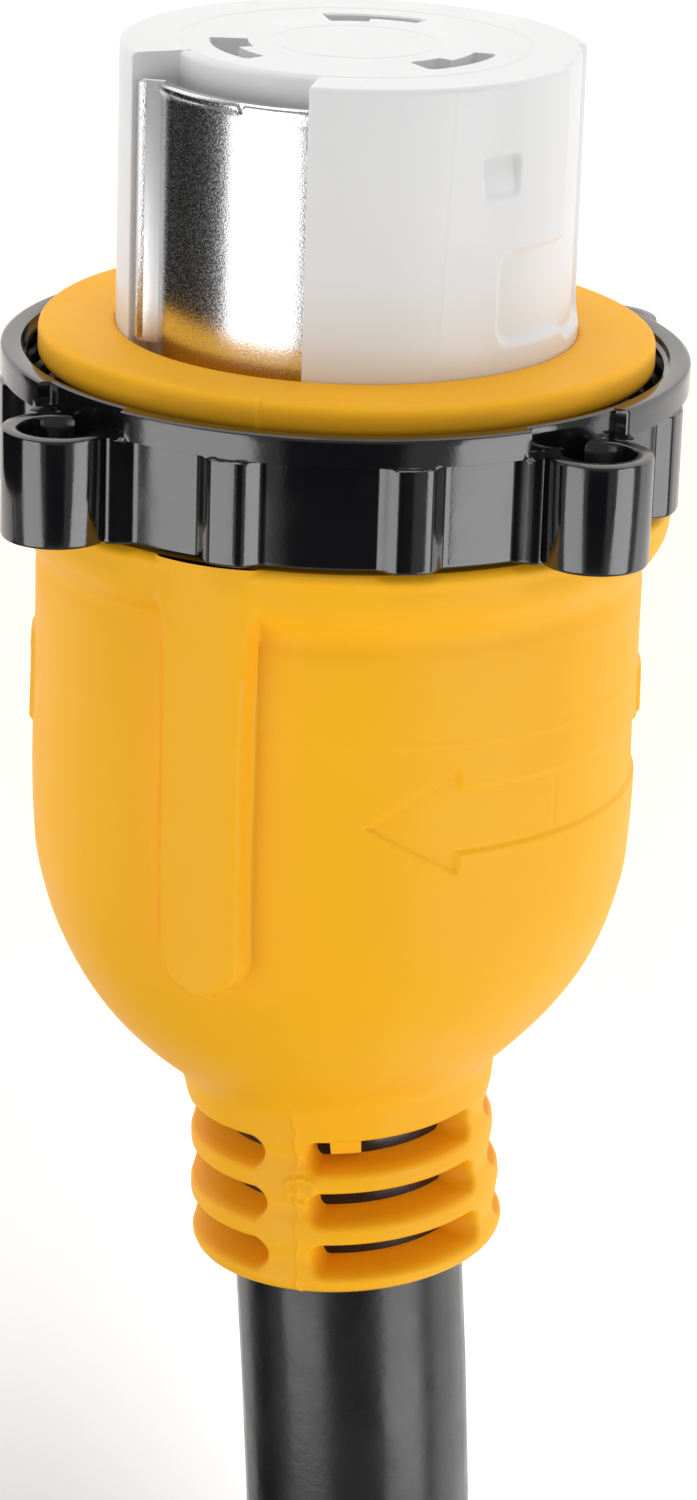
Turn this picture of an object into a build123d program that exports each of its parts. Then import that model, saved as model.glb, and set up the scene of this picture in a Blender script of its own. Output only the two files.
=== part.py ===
# Shore power cord: locking connector, coiled cord and four-blade plug.
# Units mm.  Origin at the centre of the connector's front face, on its axis.
# The axis runs along +Y from the face to the cord, +Z is up, and the part lies on a floor.
import os
from math import atan, cos, degrees, hypot, pi, radians, sin, tan

from build123d import *

os.makedirs("parts", exist_ok=True)

# ---------------------------------------------------------------- driving dimensions
NOSE_R = 27.0                  # white nose
NOSE_L = 33.0                  # face to gasket
SEAT_Y = 37.0                  # front face of the handle body
SPIGOT_R = 24.4
SPIGOT_END = 56.0
CORE_R = 21.3                  # core inside the side window
WINDOW = (-68.0, -10.5)        # side window, degrees round the axis
SHELL_R = 24.4
SHELL_T = 0.8
CONTACT_ANGLES = (-68.0, 172.0, 52.0)
CONTACT_R = 15.0               # pitch radius of the three contacts
SLOT_W = 3.4
SLOT_HALF = 21.0               # half length of a face slot, degrees
POCKET_HALF = 26.0

GASKET_R = 36.0
COLLAR_R = 31.2                # front collar of the body, under the ring
LIP_R = 39.0
BARREL_R = 36.1
NECK_R = 19.2
NECK_END = 150.2
SLOT_FRONTS = (129.4, 136.2, 143.0)
SLOT_TALL = 3.9
SPINE_ANGLES = (-21.5, 68.5, 158.5, 248.5)
THUMB_ANGLES = (-22.0, 158.0)

RING_Y = 35.7
RING_L = 15.6
RING_BORE = 37.3
RING_R = 39.0
FLANGE_R = 40.4
RING_LIP_Y = 47.9
LUG_ANGLES = (-48.4, 41.6, 131.6, 221.6)
LUG_R = 42.8                   # pitch radius of the hollow lugs
LUG_OUT = 6.2
LUG_HOLE = 4.15
LUG_BACK = 2.9                 # from the ring's front edge to the lugs
FLOOR = -45.0                  # under the cord and clear of the ring as it is drawn

CORD_D = 28.5
CORD_R = CORD_D / 2
WIRE_D = 6.6
COPPER_D = 5.0
JACKET_IN = 104.0              # cut end of the jacket inside the body
NECK_BEND = 4.5                # lean of the flexible neck, in degrees, from that cut end on

PITCH = 28.9                   # between turns of the coil
COIL_R = 5.25 * CORD_D         # mean radius of the coil
TIE_T = 1.6
TIE_W = 20.0
CORD_FLOOR = FLOOR + CORD_R
COIL_FLOOR = FLOOR + TIE_T
COIL_Y = 382.0
COIL_X = COIL_R + 1.5 * PITCH  # the lead enters the outer bottom turn at X = 0

EXIT_X = COIL_X + COIL_R + 1.5 * PITCH
PLUG_X = EXIT_X - 14.0
HEAD_Y0 = 74.0
HEAD_L = 56.0                  # along Y
HEAD_W = 34.0                  # along X
HEAD_H = 52.0
PLUG_Z = FLOOR + HEAD_H / 2
FACE_T = 3.0
BLADE_L = 27.0
HOT_HALF = 10.8                # hot blades either side of the middle
BUSH_END = 174.0


def save(builder, name):
    builder.part.label = name
    export_step(builder.part, f"parts/{name}.step")


def section(y):
    """Plane across the axis: local x to the right and local y up, seen from the cord's end."""
    return Plane(origin=(0, y, 0), x_dir=(-1, 0, 0), z_dir=(0, 1, 0))


def around(angle, r):
    return r * sin(radians(angle)), r * cos(radians(angle))


def side(angle, r, y):
    """Plane that faces straight out of the axis: local x along +Y, local y round the axis."""
    out = (-sin(radians(angle)), 0, cos(radians(angle)))
    return Plane(origin=(out[0] * r, y, out[2] * r), x_dir=(0, 1, 0), z_dir=out)


def wedge(start, end, reach):
    steps = [start + (end - start) * i / 2 for i in range(3)]
    return [(0, 0)] + [around(a, reach) for a in steps]


def sector(y, r0, r1, start, end, length, mode=Mode.ADD):
    """Curved block between two radii and two angles, from y on to y + length."""
    with BuildSketch(section(y)) as face:
        Circle(r1)
        Circle(r0, mode=Mode.SUBTRACT)
        Polygon(*wedge(start, end, 2 * r1), align=None, mode=Mode.INTERSECT)
    extrude(face.sketch, amount=length, mode=mode)


def turned(points, mode=Mode.ADD):
    """Solid turned about the axis from (radius, y) points."""
    with BuildSketch(Plane.XY) as face:
        Polygon(*points, align=None)
    revolve(face.sketch, axis=Axis.Y, mode=mode)


def leaning(shape):
    """A shape built straight, leaned over with the neck."""
    return shape.rotate(Axis((0, JACKET_IN, 0), (0, 0, 1)), NECK_BEND)


# ---------------------------------------------------------------- white nose
with BuildPart() as front_insulator:
    turned([(0, 0), (NOSE_R - 0.8, 0), (NOSE_R, 0.8), (NOSE_R, SEAT_Y), (SPIGOT_R, SEAT_Y),
            (SPIGOT_R, SPIGOT_END), (0, SPIGOT_END)])
    window_mid = sum(WINDOW) / 2
    sector(0, CORE_R, NOSE_R + 3, *WINDOW, NOSE_L, mode=Mode.SUBTRACT)
    sector(NOSE_L, SHELL_R - SHELL_T - 0.1, SHELL_R + 0.2, *WINDOW, 30, mode=Mode.SUBTRACT)
    for angle in CONTACT_ANGLES:
        sector(0, CONTACT_R - SLOT_W / 2, CONTACT_R + SLOT_W / 2, angle - SLOT_HALF,
               angle + SLOT_HALF, 6, mode=Mode.SUBTRACT)
        sector(4, CONTACT_R - 3.6, CONTACT_R + 3.6, angle - POCKET_HALF, angle + POCKET_HALF,
               60, mode=Mode.SUBTRACT)
    with BuildSketch(side(38.7, NOSE_R + 2, 10.4)):
        RectangleRounded(5.2, 5.0, 1.2)
    extrude(amount=-3.4, mode=Mode.SUBTRACT)
    sector(-1, NOSE_R - 1.2, NOSE_R + 2, 66, 96, 30.5, mode=Mode.SUBTRACT)
    sector(19, NOSE_R - 1.2, NOSE_R + 2, 38, 67, 10.5, mode=Mode.SUBTRACT)
    for angle in (-8, 112, 232):
        with BuildSketch(section(SPIGOT_END)):
            with Locations(around(angle, 16)):
                Circle(1.5)
        extrude(amount=-11, mode=Mode.SUBTRACT)
save(front_insulator, "front_insulator")

with BuildPart() as rear_insulator:
    with BuildSketch(section(SPIGOT_END)):
        Circle(24.0)
        for angle in CONTACT_ANGLES:
            with Locations(Location(around(angle, CONTACT_R), -angle)):
                Rectangle(6.6, 6.6, mode=Mode.SUBTRACT)
        for angle in (-8, 112, 232):
            with Locations(around(angle, 16)):
                Circle(1.6, mode=Mode.SUBTRACT)
    extrude(amount=4)
    sector(SPIGOT_END, 23.2, 26, *WINDOW, 5, mode=Mode.SUBTRACT)
save(rear_insulator, "rear_insulator")

with BuildPart() as assembly_screws:
    for angle in (-8, 112, 232):
        with BuildSketch(section(46)):
            with Locations(around(angle, 16)):
                Circle(1.45)
        extrude(amount=14)
        with BuildSketch(section(60)):
            with Locations(around(angle, 16)):
                Circle(2.7)
                Rectangle(3.6, 0.8, mode=Mode.SUBTRACT)
        extrude(amount=2)
save(assembly_screws, "assembly_screws")

# ---------------------------------------------------------------- contacts
BLOCK_Y = 63.0
BLOCK = 10.0
BLOCK_L = 12.0
GROUND_BLOCK_Y = 61.5


def terminal_block(angle, r, y, screw_angle):
    """Square wire clamp with a bore for the strands and a tapped hole for its screw."""
    with BuildSketch(section(y)) as block:
        with Locations(Location(around(angle, r), -angle)):
            Rectangle(BLOCK, BLOCK)
    extrude(block.sketch, amount=BLOCK_L)
    with BuildSketch(section(y + BLOCK_L)) as bore:
        with Locations(around(angle, r)):
            Circle(COPPER_D / 2 + 0.1)
    extrude(bore.sketch, amount=-9, mode=Mode.SUBTRACT)
    with BuildSketch(side(screw_angle, r + BLOCK, y + 7)) as tapped:
        Circle(2.5)
    extrude(tapped.sketch, amount=-(BLOCK - COPPER_D / 2), mode=Mode.SUBTRACT)


def line_contact(angle):
    """Two spring leaves behind a face slot, their bridge, a stud and the wire clamp."""
    sector(6, CONTACT_R - 2.6, CONTACT_R - 1.8, angle - 19, angle + 19, 36)
    sector(6, CONTACT_R + 1.8, CONTACT_R + 2.6, angle - 19, angle + 19, 36)
    sector(40, CONTACT_R - 2.6, CONTACT_R + 2.6, angle - 19, angle + 19, 2)
    with BuildSketch(section(41)) as stud:
        with Locations(Location(around(angle, CONTACT_R), -angle)):
            Rectangle(6, 6)
    extrude(stud.sketch, amount=BLOCK_Y - 41)
    terminal_block(angle, CONTACT_R, BLOCK_Y, angle)


with BuildPart() as hot_contact_x:
    line_contact(CONTACT_ANGLES[0])
save(hot_contact_x, "hot_contact_x")

with BuildPart() as neutral_contact:
    line_contact(CONTACT_ANGLES[1])
save(neutral_contact, "neutral_contact")

with BuildPart() as hot_contact_y:
    line_contact(CONTACT_ANGLES[2])
save(hot_contact_y, "hot_contact_y")

with BuildPart() as ground_shell:
    sector(3.1, SHELL_R - SHELL_T, SHELL_R, WINDOW[0] + 0.7, WINDOW[1] - 0.7, GROUND_BLOCK_Y - 3.1)
    sector(3.1, SHELL_R - SHELL_T, NOSE_R - 0.5, WINDOW[0] + 0.7, WINDOW[0] + 3.2, NOSE_L - 3.4)
    with BuildSketch(section(GROUND_BLOCK_Y - 1.5)):
        with Locations(Location(around(window_mid, 14), -window_mid)):
            Rectangle(4, 20.4)
    extrude(amount=1.5)
save(ground_shell, "ground_shell")

with BuildPart() as ground_terminal:
    terminal_block(0, 0, GROUND_BLOCK_Y, 232)
save(ground_terminal, "ground_terminal")

with BuildPart() as terminal_screws:
    clamps = [(a, CONTACT_R, BLOCK_Y) for a in CONTACT_ANGLES] + [(232, 0, GROUND_BLOCK_Y)]
    for angle, r, y in clamps:
        with BuildSketch(side(angle, r + COPPER_D / 2, y + 7)):
            Circle(2.4)
        extrude(amount=3.6)
        with BuildSketch(side(angle, r + COPPER_D / 2 + 3.6, y + 7)):
            RegularPolygon(1.4, 6)
        extrude(amount=-1.6, mode=Mode.SUBTRACT)
save(terminal_screws, "terminal_screws")

# ---------------------------------------------------------------- yellow handle body
with BuildPart() as neck:
    turned([(0, 112.0), (NECK_R, 112.0), (NECK_R, 146.6), (NECK_R + 0.5, 147.2),
            (NECK_R + 0.5, 148.6), (NECK_R - 0.8, NECK_END), (0, NECK_END)])

with BuildPart() as neck_openings:
    turned([(0, 106.0), (24.9, 106.0), (21.0, 113.0), (17.0, 124.0), (CORD_R + 0.05, 124.0),
            (CORD_R + 0.05, NECK_END + 2), (0, NECK_END + 2)])
    for i in range(4):
        for front in SLOT_FRONTS:
            sector(front, CORD_R - 1, NECK_R + 3, SPINE_ANGLES[i] + 9.5, SPINE_ANGLES[i] + 80.5,
                   SLOT_TALL)

with BuildPart() as handle_body:
    with BuildSketch(Plane.XY):
        with BuildLine():
            Polyline((0, SEAT_Y), (COLLAR_R, SEAT_Y), (COLLAR_R, 51.8), (LIP_R - 0.8, 51.8))
            ThreePointArc((LIP_R - 0.8, 51.8), (LIP_R - 0.2, 52.1), (LIP_R, 52.8))
            Line((LIP_R, 52.8), (LIP_R, 57.0))
            ThreePointArc((LIP_R, 57.0), (38.0, 60.0), (36.4, 62.5))
            Polyline((36.4, 62.5), (BARREL_R, 65.0), (BARREL_R, 95.0))
            ThreePointArc((BARREL_R, 95.0), (31.5, 112.0), (20.4, 127.0))
            Polyline((20.4, 127.0), (0, 127.0), (0, SEAT_Y))
        make_face()
    revolve(axis=Axis.Y)
    for angle in THUMB_ANGLES:
        with BuildSketch(side(angle, 33.0, 57.0)):
            with Locations((0, 0)):
                SlotOverall(104, 10.6)
            Rectangle(60, 20, align=(Align.MAX, Align.CENTER), mode=Mode.SUBTRACT)
        extrude(amount=5.6)
    for angle in (-90, 90):
        sector(66, 35, BARREL_R + 0.6, angle - 9, angle + 9, 14)
    add(leaning(neck.part))
    turned([(0, SEAT_Y - 2), (24.5, SEAT_Y - 2), (24.5, 57.0), (31.0, 61.0), (31.0, 96.0),
            (24.5, 107.0), (0, 107.0)], mode=Mode.SUBTRACT)
    add(leaning(neck_openings.part), mode=Mode.SUBTRACT)
save(handle_body, "handle_body")

with BuildPart() as sealing_gasket:
    turned([(NOSE_R, NOSE_L), (GASKET_R, NOSE_L), (GASKET_R, SEAT_Y), (NOSE_R, SEAT_Y)])
    outer = sealing_gasket.edges().filter_by(GeomType.CIRCLE).group_by(SortBy.RADIUS)[-1]
    fillet(outer, 1.6)
save(sealing_gasket, "sealing_gasket")

# ---------------------------------------------------------------- locking ring
with BuildPart() as locking_ring:
    ring_end = RING_Y + RING_L
    turned([(RING_BORE, RING_Y), (RING_R, RING_Y), (RING_R, ring_end), (31.8, ring_end),
            (31.8, RING_LIP_Y), (RING_BORE, RING_LIP_Y)])
    for lug in LUG_ANGLES:
        sector(RING_Y, RING_R - 0.6, FLANGE_R, lug + 10, lug + 80, 3.4)
        with BuildSketch(section(RING_Y + LUG_BACK)):
            with Locations(around(lug, LUG_R)):
                Circle(LUG_OUT)
                Circle(LUG_HOLE, mode=Mode.SUBTRACT)
            Circle(RING_R - 0.6, mode=Mode.SUBTRACT)
        extrude(amount=RING_L - LUG_BACK)
        for turn in (30, 60):
            with BuildSketch(section(RING_Y + 3.0)):
                with Locations(around(lug + turn, RING_R - 1.5)):
                    Circle(3.2)
                Circle(RING_R - 0.6, mode=Mode.SUBTRACT)
            extrude(amount=RING_L - 3.0)
save(locking_ring, "locking_ring")

with BuildPart() as slip_washer:
    turned([(COLLAR_R + 0.4, 46.0), (RING_BORE - 0.4, 46.0), (RING_BORE - 0.4, 47.7),
            (COLLAR_R + 0.4, 47.7)])
save(slip_washer, "slip_washer")

# ---------------------------------------------------------------- wires inside the connector
with BuildPart() as straight_grip:
    turned([(CORD_R, 106.4), (18, 106.4), (20.8, 113.2), (16.9, 123.9), (CORD_R, 123.9)])
with BuildPart() as cord_grip:
    add(leaning(straight_grip.part))
save(cord_grip, "cord_grip")

with BuildPart() as straight_jacket:
    with BuildSketch(section(JACKET_IN)):
        Circle(CORD_R)
    extrude(amount=NECK_END - JACKET_IN)
with BuildPart() as jacket_in_connector:
    add(leaning(straight_jacket.part))
save(jacket_in_connector, "jacket_in_connector")

CORE_LAY_R = 6.6               # pitch radius of the wires in the cord
WIRE_START = 78.0


def cross(angle, r, y):
    u, v = around(angle, r)
    return -u, y, v


def sweep_wire(points, diameter, bend):
    with BuildLine() as route:
        FilletPolyline(*points, radius=bend)
    with BuildSketch(Plane(origin=route.line @ 0, z_dir=route.line % 0)) as round_face:
        Circle(diameter / 2)
    sweep(round_face.sketch, path=route.line)


def connector_wire(angle):
    points = [cross(angle, CONTACT_R, WIRE_START), cross(angle, CONTACT_R, 84),
              cross(angle, CORE_LAY_R, 97), cross(angle, CORE_LAY_R, JACKET_IN - 0.8)]
    sweep_wire(points, WIRE_D, 5)


def strands(angle, r, y):
    with BuildSketch(section(y + 4)) as end_face:
        with Locations(around(angle, r)):
            Circle(COPPER_D / 2)
    extrude(end_face.sketch, amount=WIRE_START - y - 4)


WIRES = ("black", "white", "red")
for i in range(3):
    with BuildPart() as wire:
        connector_wire(CONTACT_ANGLES[i])
    save(wire, f"{WIRES[i]}_wire_connector")
    with BuildPart() as copper:
        strands(CONTACT_ANGLES[i], CONTACT_R, BLOCK_Y)
    save(copper, f"{WIRES[i]}_strands_connector")

with BuildPart() as green_wire_connector:
    with BuildSketch(section(WIRE_START)):
        Circle(2.6)
    extrude(amount=JACKET_IN - 0.4 - WIRE_START)
save(green_wire_connector, "green_wire_connector")

with BuildPart() as green_strands_connector:
    strands(0, 0, GROUND_BLOCK_Y)
save(green_strands_connector, "green_strands_connector")

# ---------------------------------------------------------------- cord on the floor
# Lead: straight out of the neck, down to the floor and along it to the coil.
LEAN_X = -sin(radians(NECK_BEND))
LEAN_Y = cos(radians(NECK_BEND))
JACKET_L = NECK_END - JACKET_IN
LEAD = [(JACKET_L * LEAN_X, JACKET_IN + JACKET_L * LEAN_Y, 0),
        ((JACKET_L + 60) * LEAN_X, JACKET_IN + (JACKET_L + 60) * LEAN_Y, 0),
        (-5, 297, CORD_FLOOR + 0.6), (0, COIL_Y, CORD_FLOOR + 1.4)]
# Tail: off the top outer turn, over the turn below it and down to the plug's bushing.
COIL_TOP = COIL_FLOOR + CORD_R + PITCH
TAIL = [(EXIT_X, COIL_Y - 12, COIL_TOP), (EXIT_X - 1, COIL_Y - 84, COIL_TOP + 1),
        (PLUG_X, BUSH_END + 50, PLUG_Z), (PLUG_X, BUSH_END, PLUG_Z)]


def corner_radii(points):
    """Radius of the tangent arc at each corner, from its turn and its shorter run."""
    radii = []
    for a, b, c in zip(points, points[1:], points[2:]):
        run_in = [b[k] - a[k] for k in range(3)]
        run_out = [c[k] - b[k] for k in range(3)]
        lengths = [hypot(*run_in), hypot(*run_out)]
        along = sum(p * q for p, q in zip(run_in, run_out)) / lengths[0] / lengths[1]
        across = (1 - along * along) ** 0.5
        half_turn = atan(across / (1 + along))
        radii.append(0.45 * min(lengths) / tan(half_turn))
        print("corner turn", round(2 * degrees(half_turn), 1), "radius", round(radii[-1], 1))
    return radii


def cord_tube(points):
    """Plain tube along straight runs joined by tangent arcs."""
    radii = corner_radii(points)
    corners = [Vector(p) for p in points]
    start = corners[0]
    with BuildLine() as route:
        for i in range(1, len(corners) - 1):
            back = (corners[i - 1] - corners[i]).normalized()
            ahead = (corners[i + 1] - corners[i]).normalized()
            half = (pi - radians(back.get_angle(ahead))) / 2
            reach = radii[i - 1] * tan(half)
            enter = corners[i] + back * reach
            leave = corners[i] + ahead * reach
            bisector = (back + ahead).normalized()
            middle = corners[i] + bisector * (radii[i - 1] / cos(half) - radii[i - 1])
            Line(start, enter)
            ThreePointArc(enter, middle, leave)
            start = leave
        Line(start, corners[-1])
    first = (corners[1] - corners[0]).normalized()
    with BuildSketch(Plane(origin=corners[0], z_dir=first)) as cut_end:
        Circle(CORD_R)
    sweep(cut_end.sketch, path=route.line)


with BuildPart() as cord_lead:
    cord_tube(LEAD)
save(cord_lead, "cord_lead")
print("lead volume / section", cord_lead.part.volume / (pi * CORD_R ** 2))

with BuildPart() as cord_tail:
    cord_tube(TAIL)
save(cord_tail, "cord_tail")
print("tail volume / section", cord_tail.part.volume / (pi * CORD_R ** 2))

# Four turns on the floor and four on top of them.
COIL_PROFILE = [(-2.0 * PITCH, 0), (2.0 * PITCH, 0), (2.0 * PITCH, 2 * PITCH),
                (-2.0 * PITCH, 2 * PITCH)]
COIL_CORNER = 12
COIL_AXIS = Axis((COIL_X, COIL_Y, 0), (0, 0, 1))
TIE_ANGLES = (35, 155, 275)


def coil_plane(angle):
    """Upright plane through the coil's section at an angle about the coil's axis."""
    out = (cos(radians(angle)), sin(radians(angle)), 0)
    start = (COIL_X + COIL_R * out[0], COIL_Y + COIL_R * out[1], COIL_FLOOR)
    return Plane(origin=start, x_dir=out, z_dir=(out[1], -out[0], 0))


with BuildPart() as cord_coil:
    with BuildSketch(coil_plane(0)) as coil_face:
        Polygon(*COIL_PROFILE, align=None)
        fillet(coil_face.vertices(), COIL_CORNER)
    revolve(axis=COIL_AXIS)
save(cord_coil, "cord_coil")

TIE_NAMES = ("left", "right", "front")
for i in range(3):
    half_width = degrees(TIE_W / 2 / COIL_R)
    with BuildPart() as tie:
        with BuildSketch(coil_plane(TIE_ANGLES[i] - half_width)) as tie_face:
            Polygon(*COIL_PROFILE, align=None)
            fillet(tie_face.vertices(), COIL_CORNER)
            offset(amount=TIE_T)
            add(coil_face.sketch_local, mode=Mode.SUBTRACT)
        revolve(axis=COIL_AXIS, revolution_arc=2 * half_width)
    save(tie, f"coil_tie_{TIE_NAMES[i]}")

# ---------------------------------------------------------------- plug at the far end
HEAD_MID_Y = HEAD_Y0 + HEAD_L / 2
FACE_X = PLUG_X + HEAD_W / 2
WALL = 5.0
HANDLE_REACH = 40.0
HANDLE_T = 13.0


def face_plane(x):
    """Plane of the plug's face at X, looking into the head: local x along -Y, local y up."""
    return Plane(origin=(x, HEAD_MID_Y, PLUG_Z), x_dir=(0, -1, 0), z_dir=(-1, 0, 0))


with BuildPart() as plug_body:
    with BuildSketch(face_plane(FACE_X)):
        RectangleRounded(HEAD_L, HEAD_H, 14)
    extrude(amount=HEAD_W)
    with BuildSketch(Plane(origin=(PLUG_X, HEAD_MID_Y, PLUG_Z), x_dir=(1, 0, 0), z_dir=(0, 0, 1))):
        with Locations((4 - HEAD_W / 2, 0)):
            RectangleRounded(HANDLE_REACH * 2, HEAD_L, 12)
            RectangleRounded(HANDLE_REACH * 2 - 2 * HANDLE_T, HEAD_L - 2 * HANDLE_T, 7,
                             mode=Mode.SUBTRACT)
        Rectangle(HANDLE_REACH * 3, HEAD_L + 2, align=(Align.MIN, Align.CENTER),
                  mode=Mode.SUBTRACT)
    extrude(amount=HANDLE_T, both=True)
    with BuildSketch(Plane(origin=(PLUG_X, HEAD_MID_Y, PLUG_Z), x_dir=(1, 0, 0), z_dir=(0, 1, 0))):
        Circle(17.0)
    extrude(amount=BUSH_END - HEAD_MID_Y, taper=1.0)
    with BuildSketch(Plane(origin=(PLUG_X, HEAD_MID_Y, PLUG_Z), x_dir=(1, 0, 0), z_dir=(0, 1, 0))):
        Circle(CORD_R + 0.05)
    extrude(amount=BUSH_END - HEAD_MID_Y, mode=Mode.SUBTRACT)
    with BuildSketch(face_plane(FACE_X)):
        RectangleRounded(HEAD_L - 2 * WALL, HEAD_H - 2 * WALL, 9)
    extrude(amount=HEAD_W - WALL, mode=Mode.SUBTRACT)
    for ring in range(3):
        with BuildSketch(Plane(origin=(PLUG_X, HEAD_Y0 + HEAD_L + 12 + 9 * ring, PLUG_Z),
                               x_dir=(1, 0, 0), z_dir=(0, 1, 0))):
            Circle(20)
            Circle(15.6, mode=Mode.SUBTRACT)
        extrude(amount=3.0, mode=Mode.SUBTRACT)
save(plug_body, "plug_body")

BLADES = {"hot_blade_x": (-HOT_HALF, 3.0, 2.4, 12.0), "hot_blade_y": (HOT_HALF, 3.0, 2.4, 12.0),
          "neutral_blade": (0.0, -13.0, 2.4, 12.0)}
GROUND_AT = (0.0, 15.5)
PIN_R = 3.1
PIN_ROOT_R = 2.8
PIN_L = BLADE_L + 3.2
BLADE_ROOT = 9.0

with BuildPart() as plug_face:
    with BuildSketch(face_plane(FACE_X)):
        RectangleRounded(HEAD_L - 2 * WALL, HEAD_H - 2 * WALL, 9)
        for y, z, thick, tall in BLADES.values():
            with Locations((y, z)):
                Rectangle(thick, tall, mode=Mode.SUBTRACT)
        with Locations(GROUND_AT):
            Circle(PIN_ROOT_R, mode=Mode.SUBTRACT)
    extrude(amount=FACE_T)
save(plug_face, "plug_face")

for name, (y, z, thick, tall) in BLADES.items():
    with BuildPart() as blade:
        with BuildSketch(face_plane(FACE_X + BLADE_L)):
            with Locations((y, z)):
                Rectangle(thick, tall)
        extrude(amount=BLADE_L + BLADE_ROOT)
        tip = blade.edges().filter_by(Axis.Z).group_by(Axis.X)[-1]
        chamfer(tip, 0.8)
    save(blade, name)

with BuildPart() as ground_pin:
    with BuildSketch(face_plane(FACE_X + PIN_L)):
        with Locations(GROUND_AT):
            Circle(PIN_R)
    extrude(amount=PIN_L)
    fillet(ground_pin.edges().group_by(Axis.X)[-1], 1.8)
    with BuildSketch(face_plane(FACE_X)):
        with Locations(GROUND_AT):
            Circle(PIN_ROOT_R)
    extrude(amount=BLADE_ROOT)
save(ground_pin, "ground_pin")

JACKET_PLUG = HEAD_Y0 + HEAD_L - WALL
with BuildPart() as jacket_in_plug:
    with BuildSketch(Plane(origin=(PLUG_X, JACKET_PLUG, PLUG_Z), x_dir=(1, 0, 0),
                           z_dir=(0, 1, 0))):
        Circle(CORD_R)
    extrude(amount=BUSH_END - JACKET_PLUG)
save(jacket_in_plug, "jacket_in_plug")

# Wires from the jacket's cut end to the roots of the blades: start as (depth, z) behind the
# face, end as (y, z) from the middle of the face, and diameter.
PLUG_WIRES = {"black_wire_plug": ((15, 3), (HOT_HALF, 3), WIRE_D),
              "red_wire_plug": ((23, 3), (-HOT_HALF, 3), WIRE_D),
              "white_wire_plug": ((15, -9), (0, -13), WIRE_D),
              "green_wire_plug": ((17, 9.5), GROUND_AT, 5.2)}
for name, ((x, z_in), (y, z_out), diameter) in PLUG_WIRES.items():
    with BuildPart() as wire:
        sweep_wire([(FACE_X - x, JACKET_PLUG - 0.7, PLUG_Z + z_in),
                    (FACE_X - x, HEAD_MID_Y + y, PLUG_Z + z_out),
                    (FACE_X - BLADE_ROOT, HEAD_MID_Y + y, PLUG_Z + z_out)], diameter, 4)
    save(wire, name)

TURNS = 7.5
print("cord in the coil", round(2 * pi * (TURNS * COIL_R + 0.75 * PITCH)), "mm")
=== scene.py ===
"""Shore power cord: connector, coiled cord and plug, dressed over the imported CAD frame."""
from math import cos, pi, radians, sin

import bpy
import numpy as np
from mathutils import Matrix, Vector


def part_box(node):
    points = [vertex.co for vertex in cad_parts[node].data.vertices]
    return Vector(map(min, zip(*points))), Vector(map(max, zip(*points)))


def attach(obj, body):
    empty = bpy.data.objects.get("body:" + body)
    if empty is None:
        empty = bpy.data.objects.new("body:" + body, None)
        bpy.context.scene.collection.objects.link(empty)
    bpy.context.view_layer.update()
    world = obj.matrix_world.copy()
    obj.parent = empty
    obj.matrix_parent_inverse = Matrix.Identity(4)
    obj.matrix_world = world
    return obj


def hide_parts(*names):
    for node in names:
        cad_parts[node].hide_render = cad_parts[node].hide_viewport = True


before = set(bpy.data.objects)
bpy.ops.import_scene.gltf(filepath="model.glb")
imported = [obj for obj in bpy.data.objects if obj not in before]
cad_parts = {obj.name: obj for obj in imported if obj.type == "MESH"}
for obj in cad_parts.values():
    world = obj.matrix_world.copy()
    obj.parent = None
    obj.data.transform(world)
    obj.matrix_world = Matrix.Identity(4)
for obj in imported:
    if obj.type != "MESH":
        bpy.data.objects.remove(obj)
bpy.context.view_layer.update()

MM = 0.001


# ------------------------------------------------------------------ camera
FOCAL_OVER_HEIGHT = 3.0656          # focal length over the picture's height
CAMERA_AT = (0.0, -0.1035, 0.5225)
CAMERA_TILT = radians(19.96)
CAMERA_ROLL = radians(1.79)
CAMERA_TURN = radians(-0.19)

camera_data = bpy.data.cameras.new("camera")
camera_data.sensor_fit = "VERTICAL"
camera_data.sensor_height = 36.0
camera_data.lens = 36.0 * FOCAL_OVER_HEIGHT
camera_data.clip_start = 0.01
camera = bpy.data.objects.new("camera", camera_data)
bpy.context.scene.collection.objects.link(camera)
camera.matrix_world = (Matrix.Translation(CAMERA_AT) @ Matrix.Rotation(pi, 4, "Z")
                       @ Matrix.Rotation(-CAMERA_TILT, 4, "X")
                       @ Matrix.Rotation(CAMERA_TURN, 4, "Y")
                       @ Matrix.Rotation(CAMERA_ROLL, 4, "Z"))
bpy.context.scene.camera = camera
bpy.context.scene.view_settings.view_transform = "Standard"


# ------------------------------------------------------------------ sizes from the frame
def node_box(name):
    """Lowest and highest corner of a CAD node, in mm."""
    low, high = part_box(name)
    return np.array(low) / MM, np.array(high) / MM


JACKET_LOW, JACKET_HIGH = node_box("jacket_in_connector")
COIL_LOW, COIL_HIGH = node_box("cord_coil")
HEAD_LOW, HEAD_HIGH = node_box("plug_body")

NOSE_R = node_box("front_insulator")[1][0]
CORD_D = JACKET_HIGH[2] - JACKET_LOW[2]
JACKET_IN, NECK_END = 104.0, 150.2          # cut end of the jacket, end of the neck
NECK_BEND = 4.5                             # lean of the flexible neck, in degrees
FLOOR = node_box("coil_tie_front")[0][2]


# ------------------------------------------------------------------ small helpers
def step(x):
    """Smooth step from 0 to 1 as x goes from 0 to 1."""
    t = np.clip(x, 0.0, 1.0)
    return t * t * (3.0 - 2.0 * t)


def bump(x, centre, half_width):
    """Rounded bump of height 1 about a centre."""
    return np.exp(-((x - centre) / half_width) ** 2)


def turn_to(angle, centre):
    """Signed angle from a centre, in degrees, between -180 and 180."""
    return (angle - centre + 180.0) % 360.0 - 180.0


def link(obj):
    bpy.context.scene.collection.objects.link(obj)
    return obj


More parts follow.
